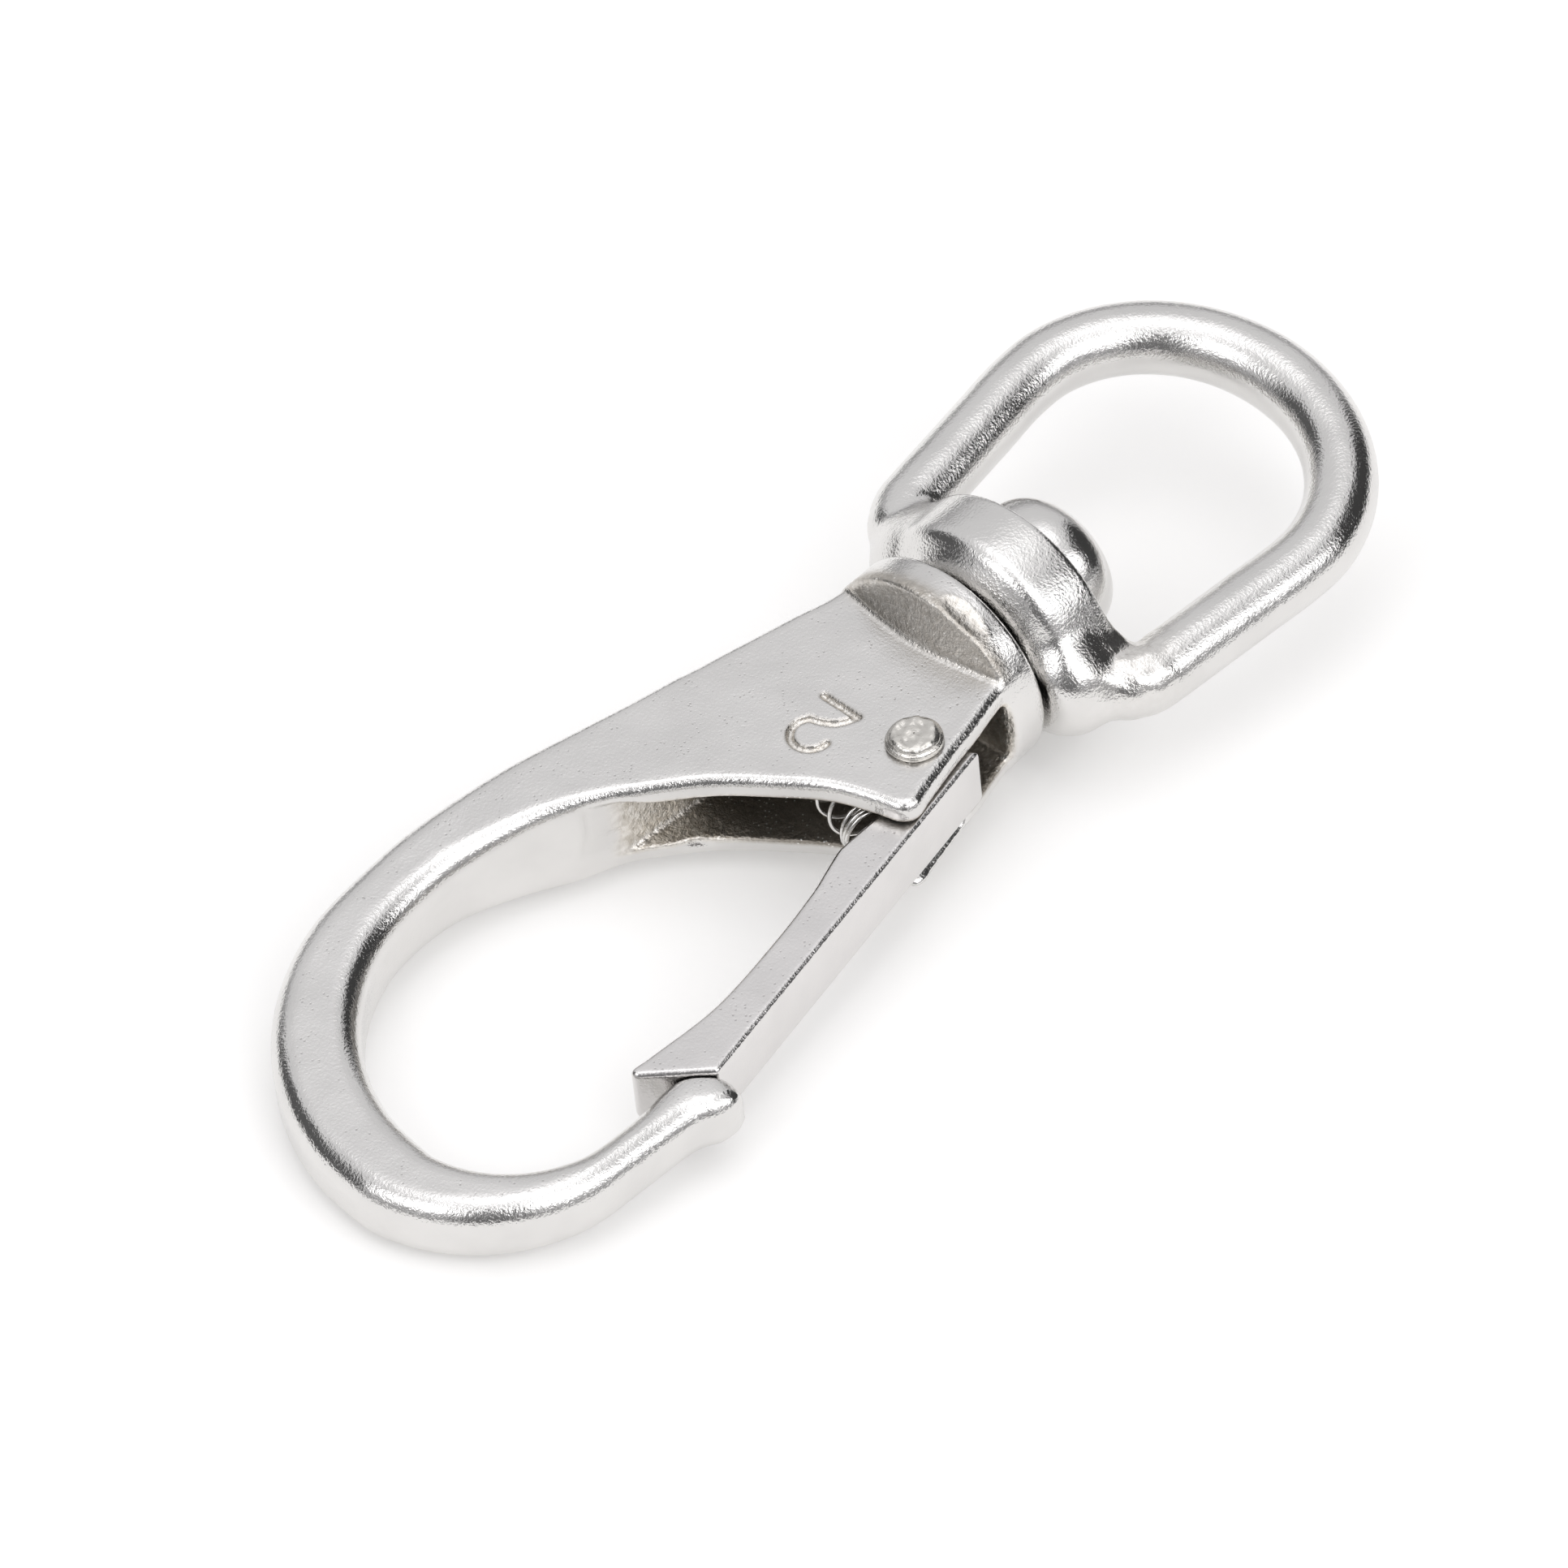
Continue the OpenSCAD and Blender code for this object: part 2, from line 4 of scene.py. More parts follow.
import bpy
import numpy as np
from mathutils import Matrix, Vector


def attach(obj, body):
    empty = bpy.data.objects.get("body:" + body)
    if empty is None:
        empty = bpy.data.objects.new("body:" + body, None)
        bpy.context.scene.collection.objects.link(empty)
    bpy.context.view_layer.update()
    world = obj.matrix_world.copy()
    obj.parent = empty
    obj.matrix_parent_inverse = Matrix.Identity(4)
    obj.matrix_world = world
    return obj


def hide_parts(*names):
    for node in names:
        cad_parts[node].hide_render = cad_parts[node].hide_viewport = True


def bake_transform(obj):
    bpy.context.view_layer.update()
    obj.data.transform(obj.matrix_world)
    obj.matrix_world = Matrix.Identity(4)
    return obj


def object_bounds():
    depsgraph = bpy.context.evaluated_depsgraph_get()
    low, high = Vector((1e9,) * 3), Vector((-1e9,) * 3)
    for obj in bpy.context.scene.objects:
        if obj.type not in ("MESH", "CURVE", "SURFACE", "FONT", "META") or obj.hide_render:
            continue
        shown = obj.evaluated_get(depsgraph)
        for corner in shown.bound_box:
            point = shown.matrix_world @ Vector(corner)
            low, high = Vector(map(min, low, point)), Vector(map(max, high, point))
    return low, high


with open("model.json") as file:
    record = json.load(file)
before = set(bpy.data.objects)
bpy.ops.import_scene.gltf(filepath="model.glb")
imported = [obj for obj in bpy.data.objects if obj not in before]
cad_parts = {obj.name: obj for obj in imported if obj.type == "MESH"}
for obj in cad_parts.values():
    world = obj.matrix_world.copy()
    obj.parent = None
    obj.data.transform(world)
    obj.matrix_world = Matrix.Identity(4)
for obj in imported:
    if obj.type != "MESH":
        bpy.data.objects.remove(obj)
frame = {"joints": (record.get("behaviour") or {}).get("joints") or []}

cad_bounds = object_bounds()

# ---- Camera ---------------------------------------------------------------------------------
# A long lens looks down on the hook from its crown's side, with the gate towards the camera.
# Angles are in degrees and lengths in metres.

view_azimuth = -47.087
view_elevation = 44.232
view_roll = -0.87
view_distance = 0.7
view_target = (-0.0034, 0.000925, 0.00655)
view_lens = 245.2  # mm, on a sensor 36 mm wide

a, e, r = (math.radians(v) for v in (view_azimuth, view_elevation, view_roll))
level = np.array([math.cos(a), math.sin(a), 0])
upright = np.array([-math.sin(a) * math.sin(e), math.cos(a) * math.sin(e), math.cos(e)])
back = np.array([math.sin(a) * math.cos(e), -math.cos(a) * math.cos(e), math.sin(e)])
camera_right = math.cos(r) * level + math.sin(r) * upright
camera_up = math.cos(r) * upright - math.sin(r) * level
camera_place = np.array(view_target) + view_distance * back
camera_axes = np.stack([camera_right, camera_up, back, camera_place], 1)

camera_data = bpy.data.cameras.new("camera")
camera_data.lens = view_lens
camera_data.sensor_width = 36.0
camera_data.clip_end = 20.0
camera = bpy.data.objects.new("camera", camera_data)
camera.matrix_world = Matrix(np.vstack([camera_axes, [0, 0, 0, 1]]).tolist())
bpy.context.scene.collection.objects.link(camera)
bpy.context.scene.camera = camera
bpy.context.scene.view_settings.view_transform = "Standard"

# ---- Studio ---------------------------------------------------------------------------------
# A pale table and a light tent round it. The tent is bright above and has a dark gap over the
# table's edge, which polished steel shows as its dark bands. The tent is the world's own light.


class Value:
    """A socket of a node tree. Sums on it add the Math nodes that work them out."""

    def __init__(self, tree, socket):
        self.tree, self.socket = tree, socket

    def node(self, kind, settings={}, sockets={}, out=0):
        """Adds a node: its settings first, a ramp's stops among them, and then its sockets,
        each of which is given a number, a colour or another Value."""
        new = self.tree.nodes.new("ShaderNode" + kind)
        for name, setting in settings.items():
            if name == "stops":
                ramp = new.color_ramp.elements
                for k, (place, shade) in enumerate(setting):
                    stop = ramp[k] if k < 2 else ramp.new(place)
                    stop.position = place
                    stop.color = shade if isinstance(shade, tuple) else (shade, shade, shade, 1)
            else:
                setattr(new, name, setting)
        for name, value in sockets.items():
            if isinstance(value, Value):
                self.tree.links.new(value.socket, new.inputs[name])
            else:
                new.inputs[name].default_value = value
        return Value(self.tree, new.outputs[out])

    def sum(self, operation, *others, first=None):
        given = [self, *others] if first is None else [first, self]
        return self.node("Math", {"operation": operation}, dict(enumerate(given)))

    def __add__(self, other):
        return self.sum("ADD", other)

    def __sub__(self, other):
        return self.sum("SUBTRACT", other)

    def __mul__(self, other):
        return self.sum("MULTIPLY", other)

    def __rsub__(self, other):
        return self.sum("SUBTRACT", first=other)

    __radd__, __rmul__ = __add__, __mul__

    def rise(self, low, high):
        """0 below low, 1 above high, and smooth between them."""
        return self.node("MapRange", {"interpolation_type": "SMOOTHSTEP"},
                         {"Value": self, "From Min": low, "From Max": high})

    def tint(self, dark, light):
        """A colour that goes from dark to light as the value goes from 0 to 1."""
        return self.node("Mix", {"data_type": "RGBA"}, {0: self, 6: dark, 7: light}, out=2)


tent = bpy.data.worlds.new("light_tent")
tent.use_nodes = True
bpy.context.scene.world = tent
tent_tree = tent.node_tree
tent_light = tent_tree.nodes["Background"]
sky = Value(tent_tree, tent_tree.nodes.new("ShaderNodeTexCoord").outputs["Generated"])
height = sky.node("SeparateXYZ", {}, {0: sky}, out=2)
# Brightness by the height of the direction: the table's edge, the gap, the walls and the roof.
tent_glow = height.node("ValToRGB", {"stops": [
    (0.0, 0.3), (0.1, 0.35), (0.3, 0.62), (0.45, 0.78), (0.8, 0.8), (0.9, 1.0), (0.97, 1.7)]}, {0: height})


def patch(glow, azimuth, elevation, width, level, soft=0.15):
    """Glow with a round patch of another level in it. The patch is where the cosine between the
    direction and the patch's middle is above the cosine of its width."""
    a, e = math.radians(azimuth), math.radians(elevation)
    middle = (math.sin(a) * math.cos(e), -math.cos(a) * math.cos(e), math.sin(e))
    cosine = sky.node("VectorMath", {"operation": "DOT_PRODUCT"}, {0: sky, 1: middle}, out="Value")
    outer, inner = math.radians(width * (1 + soft)), math.radians(width * (1 - soft))
    inside = cosine.rise(math.cos(outer), math.cos(inner))
    return glow + (level - glow) * inside


# Azimuth and elevation of each patch's middle, its width and its brightness: two dark openings of
# the tent, the gap for the camera, and softboxes.
for tent_patch in ((65, 19, 31, 0.06), (-148, 14, 26, 0.12), (-50, 14, 17, 0.2), (-50, 40, 12, 0.25),
                   (-90, 42, 16, 2.4), (-12, 45, 19, 2.4), (22, 32, 14, 1.8)):
    tent_glow = patch(tent_glow, *tent_patch)
tent_light.inputs["Color"].default_value = (0.99, 0.985, 1.0, 1)
tent_tree.links.new(tent_glow.socket, tent_light.inputs["Strength"])

table_half = 1.5
table_top = bpy.data.meshes.new("table")
floor_z = cad_bounds[0][2]
corners = [(x * table_half, y * table_half, floor_z) for x, y in ((-1, -1), (1, -1), (1, 1), (-1, 1))]
table_top.from_pydata(corners, [], [(0, 1, 2, 3)])
table = bpy.data.objects.new("table", table_top)
bpy.context.scene.collection.objects.link(table)
paint = bpy.data.materials.new("table_white")
paint.use_nodes = True
paint_shader = paint.node_tree.nodes["Principled BSDF"]
paint_shader.inputs["Base Color"].default_value = (0.86, 0.855, 0.845, 1)
paint_shader.inputs["Emission Color"].default_value = (1.0, 0.995, 0.985, 1)
paint_shader.inputs["Emission Strength"].default_value = 0.23
paint_shader.inputs["Roughness"].default_value = 0.9
table_top.materials.append(paint)

# ---- Hook body ------------------------------------------------------------------------------
# One steel casting, tumbled and polished: a collar, two cheeks with a channel between them, and
# a bend that ends in a nose. Lengths are in mm in the hook's own frame: x along the swivel from
# the collar's face, y across with the gate at -y, and z across the cheeks. It lies on its crown
# and on the eye's boss, so the frame is pitched and lie() takes it to the bench.

swivel = next(joint for joint in frame["joints"] if joint["name"] == "swivel")
swivel_gap = 0.95
hook_axes = np.array([swivel["axis"], (0, 1, 0), np.cross(swivel["axis"], (0, 1, 0))])
hook_origin = np.array(swivel["pos_m"]) - 0.001 * swivel_gap * hook_axes[0]


def lie(points):
    """Points of the hook's own frame, in mm, as they lie on the bench, in metres."""
    return hook_origin + 0.001 * points @ hook_axes


def through(rows, steps):
    """Smooth curve through rows of numbers. Between rows b and c, with a before and d after and
    t from 0 to 1: half of 2b + (c - a)t + (2a - 5b + 4c - d)t^2 + (3b - a - 3c + d)t^3."""
    rows = np.asarray(rows, float)
    b, c = rows[:-1, None], rows[1:, None]
    a, d = np.vstack([rows[:1], rows[:-2]])[:, None], np.vstack([rows[2:], rows[-1:]])[:, None]
    t = (np.arange(steps) / steps)[None, :, None]
    bent = (2 * a - 5 * b + 4 * c - d) * t**2 + (3 * b - a - 3 * c + d) * t**3
    curve = 0.5 * (2 * b + (c - a) * t + bent)
    return np.vstack([curve.reshape(-1, rows.shape[1]), rows[-1:]])


def to_line(x, y, line, closed=False):
    """Least distance from plan points to a line of points, the number of the nearest segment,
    how far along it the foot lies from 0 to 1, and on which side. A closed line's side comes
    from counting how often a ray towards +x crosses it, and an open one's from the nearest
    segment's own direction."""
    ends = np.vstack([line[1:], line[:1]]) if closed else line[1:]
    starts = line if closed else line[:-1]
    run = ends - starts
    result = []
    for part in np.array_split(np.stack([x, y], 1), max(1, len(x) // 4000)):
        gap = part[:, None, :] - starts[None]
        t = np.clip((gap * run).sum(-1) / (run**2).sum(-1), 0, 1)
        off = gap - t[..., None] * run
        near = (off**2).sum(-1)
        k = near.argmin(1)
        each = np.arange(len(part))
        if closed:
            py = part[:, 1:2]
            spans = (starts[:, 1] <= py) != (ends[:, 1] <= py)
            with np.errstate(all="ignore"):
                cross_x = starts[:, 0] + (py - starts[:, 1]) / run[:, 1] * run[:, 0]
            side = np.where((spans & (cross_x > part[:, :1])).sum(1) % 2, -1.0, 1.0)
        else:
            g = gap[each, k]
            side = np.sign(run[k, 0] * g[:, 1] - run[k, 1] * g[:, 0])
        result.append(np.stack([np.sqrt(near[each, k]), k, t[each, k], side], 1))
    return np.vstack(result).T


class PlanMap:
    """Values worked out once on a grid of the plan, and read between its lines by the same cubic
    as through() uses, along x and then along y."""

    def __init__(self, low, high, cell, work):
        self.low, self.cell = np.array(low), cell
        count = np.ceil((np.array(high) - self.low) / cell).astype(int) + 1
        gx, gy = np.meshgrid(*(self.low[i] + cell * np.arange(count[i]) for i in (0, 1)), indexing="ij")
        self.values = np.stack(work(gx.ravel(), gy.ravel()), 1).reshape(*count, -1)

    def __call__(self, x, y):
        x, y = np.broadcast_arrays(x, y)
        place = [(x - self.low[0]) / self.cell, (y - self.low[1]) / self.cell]
        first = [np.clip(p.astype(int), 1, n - 3) for p, n in zip(place, self.values.shape)]
        weights = []
        for p, i in zip(place, first):
            t = np.clip(p - i, 0, 1)
            weights.append([0.5 * (2 * t**2 - t - t**3), 0.5 * (2 - 5 * t**2 + 3 * t**3),
                            0.5 * (t + 4 * t**2 - 3 * t**3), 0.5 * (t**3 - t**2)])
        total = 0
        for i in range(4):
            for j in range(4):
                w = (weights[0][i] * weights[1][j])[..., None]
                total = total + w * self.values[first[0] + i - 1, first[1] + j - 1]
        return np.moveaxis(total, -1, 0)


def both(a, b, soft):
    """The larger of two distances: what lies inside both. Where they differ by less than soft,
    it is rounded by the square of the rest of soft over four times soft."""
    return np.maximum(a, b) + np.maximum(soft - np.abs(a - b), 0)**2 / (4 * soft)


def either(a, b, soft):
    """The smaller of two distances, filleted where they meet: what lies inside either."""
    return -both(-a, -b, soft)


def slab(edge, z, half, rounding):
    """Distance to a flat bar with rounded edges, from the distance to its outline in plan: that
    to its sides and faces, drawn in by the rounding, less the rounding."""
    a, b = edge + rounding, np.abs(z) - half + rounding
    return np.hypot(np.maximum(a, 0), np.maximum(b, 0)) + np.minimum(np.maximum(a, b), 0) - rounding


def slope_of(field, p, step=0.02):
    """Slope of a field at points, from its values a step to either side along each axis."""
    return np.stack([(field(*(p + d).T) - field(*(p - d).T)) / (2 * step) for d in step * np.eye(3)], 1)


def cast_skin(field, xs, ys, zs, slides=5):
    """The surface where a field of x, y and z is zero, as points and four-sided faces.
    Each box of the grid that the surface crosses gets one point, at the mean of where it crosses
    the box's edges, and each crossed edge gets a face between its four boxes. The points then
    slide along the surface towards the mean of their neighbours, and are drawn back onto it by
    the field's value over its slope."""
    lines = [np.asarray(v, np.float32) for v in (xs, ys, zs)]
    f = field(lines[0][:, None, None], lines[1][None, :, None], lines[2][None, None, :])
    inside = f < 0
    boxes = np.array(f.shape) - 1
    rings, places = [], []
    for axis in range(3):
        low = tuple(slice(0, -1) if i == axis else slice(None) for i in range(3))
        high = tuple(slice(1, None) if i == axis else slice(None) for i in range(3))
        at = np.stack(np.nonzero(inside[low] != inside[high]), 1)
        f0, f1 = f[low][tuple(at.T)], f[high][tuple(at.T)]
        p = np.stack([lines[i][at[:, i]] for i in range(3)], 1).astype(float)
        p[:, axis] += f0 / (f0 - f1) * (lines[axis][at[:, axis] + 1] - lines[axis][at[:, axis]])
        ring = []
        for du, dv in ((0, 0), (-1, 0), (-1, -1), (0, -1)):
            b = at.copy()
            b[:, (axis + 1) % 3] += du
            b[:, (axis + 2) % 3] += dv
            ring.append(np.ravel_multi_index(b.T, boxes))
        ring = np.stack(ring, 1)
        rings.append(np.where((f0 < 0)[:, None], ring, ring[:, ::-1]))
        places.append(p)
    faces, places = np.vstack(rings), np.vstack(places)
    used, faces = np.unique(faces, return_inverse=True)
    faces = faces.reshape(-1, 4)
    n = len(used)

    def gather(index, what):
        each = index.shape[1]
        return np.stack([np.bincount(index.ravel(), what[:, i].repeat(each), n) for i in range(3)], 1)

    points = gather(faces, places) / np.bincount(faces.ravel(), minlength=n)[:, None]
    near = np.vstack([faces[:, [i, (i + 1) % 4]] for i in range(4)])
    near = np.vstack([near, near[:, ::-1]])
    degree = np.bincount(near[:, 0], minlength=n)[:, None]
    for turn in range(slides + 1):
        if turn:
            mean = gather(near[:, :1], points[near[:, 1]]) / degree
            pull = mean - points
            points += 0.6 * (pull - (pull * normal).sum(1)[:, None] * normal)
        for step in range(2 if turn in (0, slides) else 1):
            normal = slope_of(field, points)
            size = np.linalg.norm(normal, axis=1)[:, None]
            pull = np.clip(field(*points.T)[:, None] / size, -0.1, 0.1)
            normal /= size
            points -= pull * normal
    return points, faces, normal


def add_piece(name, points, faces, body, replaced, satin=0, raw=0, dark=0):
    """Puts a mesh in the scene, riding on a body if one is given and in place of a CAD node.
    Its points are in the hook's own frame. Its material reads the marks satin, raw and dark,
    each a number for every point or one for all."""
    mesh = bpy.data.meshes.new(name)
    mesh.from_pydata(lie(points), [], faces.tolist() if hasattr(faces, "tolist") else faces)
    mesh.shade_smooth()
    for mark, values in (("satin", satin), ("raw", raw), ("dark", dark)):
        each = np.array(np.broadcast_to(values, len(points)), np.float32)
        mesh.attributes.new(mark, "FLOAT", "POINT").data.foreach_set("value", each)
    piece = bpy.data.objects.new(name, mesh)
    bpy.context.scene.collection.objects.link(piece)
    if body:
        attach(piece, body)
    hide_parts(replaced)
    return piece


def on_arc(centre, radius, degrees):
    """Points at angles round a centre."""
    t = np.radians(np.atleast_1d(degrees))
    return np.stack([centre[0] + radius * np.cos(t), centre[1] + radius * np.sin(t)], 1)


# The hook's stations, from the collar round to the nose. Row: outer x, y; inner x, y; half
# thickness; rounding of the edges.
half_cheek, half_crown, half_nose = 4.25, 2.7, 2.3
cheek_rows = np.array([
    [-1.0, 7.0, -1.0, -7.0], [-3.9, 7.3, -3.9, -7.4], [-6.6, 8.1, -6.6, -8.0], [-9.6, 8.9, -9.4, -8.5],
    [-12.2, 9.6, -12.4, -9.15], [-13.8, 10.0, -14.0, -9.5], [-14.8, 10.3, -15.0, -8.8],
    [-15.6, 10.55, -15.5, -7.0], [-17.0, 10.9, -16.5, -4.1], [-19.2, 11.45, -18.5, -1.0],
    [-21.6, 12.15, -20.8, 2.1]])
cheek_rows = np.hstack([cheek_rows, np.tile([half_cheek, 0.8], (len(cheek_rows), 1))])
back_rows = np.array([
    [-24.3, 13.0, -23.6, 4.75, 4.23, 0.8], [-27.7, 14.15, -26.5, 7.1, 4.13, 1.0],
    [-31.1, 15.1, -29.9, 9.15, 3.85, 1.2], [-34.5, 15.85, -33.7, 10.6, 3.5, 1.5],
    [-38.1, 16.2, -37.1, 11.35, 3.25, 1.7]])
rear, front = np.arange(99, 178, 13.0), np.arange(190, 256, 13.0)
rear_rows = np.hstack([
    on_arc((-41.0, -2.3), 18.5, rear), on_arc((-38.95, -3.5), 14.9, rear),
    half_crown + 0.5 * ((180 - rear[:, None]) / 90)**1.3, np.full((len(rear), 1), 1.9)])
front_half = half_crown + (half_nose + 0.15 - half_crown) * (front[:, None] - 180) / 90
front_rows = np.hstack([
    on_arc((-46.5, -1.3), 13.1, front), on_arc((-45.25, -2.7), 8.7, front),
    front_half, np.full((len(front), 1), 1.9)])
nose_rows = np.array([
    [-46.1, -14.38, -44.6, -11.38, 2.45, 1.9], [-43.5, -14.6, -42.6, -11.4, 2.35, 1.8],
    [-41.3, -14.85, -40.9, -11.3, 2.3, 1.7], [-39.9, -15.55, -39.1, -11.5, 2.3, 1.5],
    [-38.6, -15.75, -37.8, -12.6, 2.15, 1.3], [-37.7, -15.45, -37.3, -13.8, 1.7, 0.9]])
stations = through(np.vstack([cheek_rows, back_rows, rear_rows, front_rows, nose_rows]), 10)
hook_outline = np.vstack([stations[:, :2], stations[::-1, 2:4]])
hook_middle = (stations[:, :2] + stations[:, 2:4]) / 2

# The size number: a ring's part, a slope and a foot, as one line of points.
digit_r, digit_half_w, digit_depth = 1.36, 0.27, 0.36
digit_bowl = on_arc((-13.85, -0.05), digit_r, np.linspace(272, 60, 24))
digit_slope = through([[-12.85, 0.9], [-12.55, 0.0], [-12.0, -0.85], [-10.8, -1.5]], 8)
digit_line = np.vstack([digit_bowl, digit_slope, [[-10.76, 1.5]]])


def hook_values(x, y):
    """Plan values of the hook: distance to the outline, half thickness, rounding, and distance
    to the number's line."""
    edge, _, _, side = to_line(x, y, hook_outline, closed=True)
    blend = []
    for part in np.array_split(np.stack([x, y], 1), max(1, len(x) // 4000)):
        w = 1 / (((part[:, None] - hook_middle[None])**2).sum(-1) + 0.3)**2
        blend.append(w @ stations[:, 4:6] / w.sum(1)[:, None])
    half, rounding = np.vstack(blend).T
    return edge * side, half, rounding, to_line(x, y, digit_line)[0]


hook_low, hook_high = (-60.5, -17.0), (1.2, 17.4)
hook_plan = PlanMap((-61.5, -18.0), (2.2, 18.4), 0.2, hook_values)

collar_r, collar_l = 8.05, 2.8
scoop_l, scoop_in, scoop_out = 0.8, 4.3, 7.75  # its length, and the radii where it starts and ends
scoop_h = scoop_out - scoop_in
channel_half_w = 2.65
channel_lip, channel_rear = np.array([-26.4, 7.3]), np.array([-3.0, 4.4])
channel_run = (channel_rear - channel_lip) / np.linalg.norm(channel_rear - channel_lip)
seat, seat_angle = (-39.5, -12.05), math.radians(43)
pivot = np.array([-10.15, -5.9])
rivet_hole_r = 1.42
cheek_step, gate_step, lip_nick_x = 1.0, 1.3, -21.2
patch_x = -1.8  # a flat on the collar's rim, where the casting's gate was ground off
patch_turn = np.array([math.sin(math.radians(-22.5)), math.cos(math.radians(-22.5))])


def rise(v, low, high):
    """0 below low, 1 above high, and smooth between them: 3t^2 - 2t^3, where t is the share of
    the way from low to high."""
    t = np.clip((v - low) / (high - low), 0, 1)
    return t * t * (3 - 2 * t)


def behind_channel(x, y):
    """Distance behind the channel's slanted back."""
    return -channel_run[1] * (x - channel_lip[0]) + channel_run[0] * (y - channel_lip[1])


def channel_field(x, y, z):
    """Distance to the channel's space: in front of its back, behind the collar's wall and
    between the cheeks."""
    plan = np.maximum(both(behind_channel(x, y), x - channel_rear[0], 0.9), channel_lip[0] - 0.4 - x)
    return both(plan, np.abs(z) - channel_half_w, 0.6)


def set_back(x, y, z):
    """How far the lower cheek's edge stands behind the upper's: along the channel's mouth, where
    its lip also has a nick, and beside the gate."""
    along = rise(x, channel_lip[0] - 2.6, channel_lip[0] + 2.9) * (1 - rise(x, -15.5, -14.2))
    nick = 0.3 * np.exp(-((x - lip_nick_x) / 0.8)**2) * rise(z, -3.4, -2.7)
    mouth = (cheek_step + nick) * along * (1 - rise(behind_channel(x, y), 1.5, 3.0))
    beside_gate = gate_step * rise(x, -17.5, -14.5) * (1 - rise(x, -9.0, -7.8)) * (1 - rise(y, -5, -3))
    return np.maximum(mouth, beside_gate * rise(z, -4.0, -2.9)) * (1 - rise(z, -1.0, 1.0))


def hook_field(x, y, z):
    """Distance to the hook body: a slab with rounded edges, joined to the collar's drum, less
    the channel, the seat's slant, the number and the rivet's hole."""
    edge, half, rounding, number = hook_plan(x, y)
    out = np.hypot(y, z)
    bar = slab(edge + set_back(x, y, z), z, half, rounding)
    rim = out - collar_r + 0.006 * (x + 1.2)**2
    flat = patch_turn[0] * y + patch_turn[1] * z - collar_r + 0.22 - 0.3 * (x - patch_x)**2
    wall = (-scoop_h * (x + collar_l) + scoop_l * (out - scoop_out)) / math.hypot(scoop_h, scoop_l)
    drum = both(both(both(rim, flat, 0.05), x, 0.3), wall, 0.25)
    solid = either(bar, drum, 0.4)
    at_lip = 1 - rise(x, channel_lip[0] + 0.6, channel_lip[0] + 3.2)
    solid = both(solid, -channel_field(x, y, z), 0.2 + 1.1 * at_lip * rise(z, -2.3, -0.8))
    slant = (x - seat[0]) * math.cos(seat_angle) + (y - seat[1]) * math.sin(seat_angle)
    beside = np.abs((y - seat[1]) * math.cos(seat_angle) - (x - seat[0]) * math.sin(seat_angle)) - 4
    solid = both(solid, -np.maximum(both(-slant, beside, 0.1), slant - 4), 0.3)
    groove = np.hypot(number / digit_half_w, (z - half_cheek) / digit_depth) - 1
    solid = both(solid, -groove * digit_depth * 0.8, 0.1)
    hole = np.hypot(x - pivot[0], y - pivot[1]) - rivet_hole_r
    return both(solid, -hole, 0.1)


def spaced(low, high, step, fine=()):
    """Grid lines from low to high at about one step, closer in the ranges that fine gives."""
    places = [low]
    while places[-1] < high:
        step_here = min([step] + [s for a, b, s in fine if a <= places[-1] < b])
        places.append(places[-1] + step_here)
    return places


xs = spaced(hook_low[0], hook_high[0], 0.25, [(-28, -16.8, 0.2), (-16.8, -9, 0.14), (-9, 1, 0.19)])
ys = spaced(hook_low[1], hook_high[1], 0.25, [(-12, -3.5, 0.21), (-3.5, 2.3, 0.14)])
zs = spaced(-8.9, 8.9, 0.24, [(-4.6, 4.6, 0.2)])
hook_points, hook_faces, hook_normals = cast_skin(hook_field, xs, ys, zs)


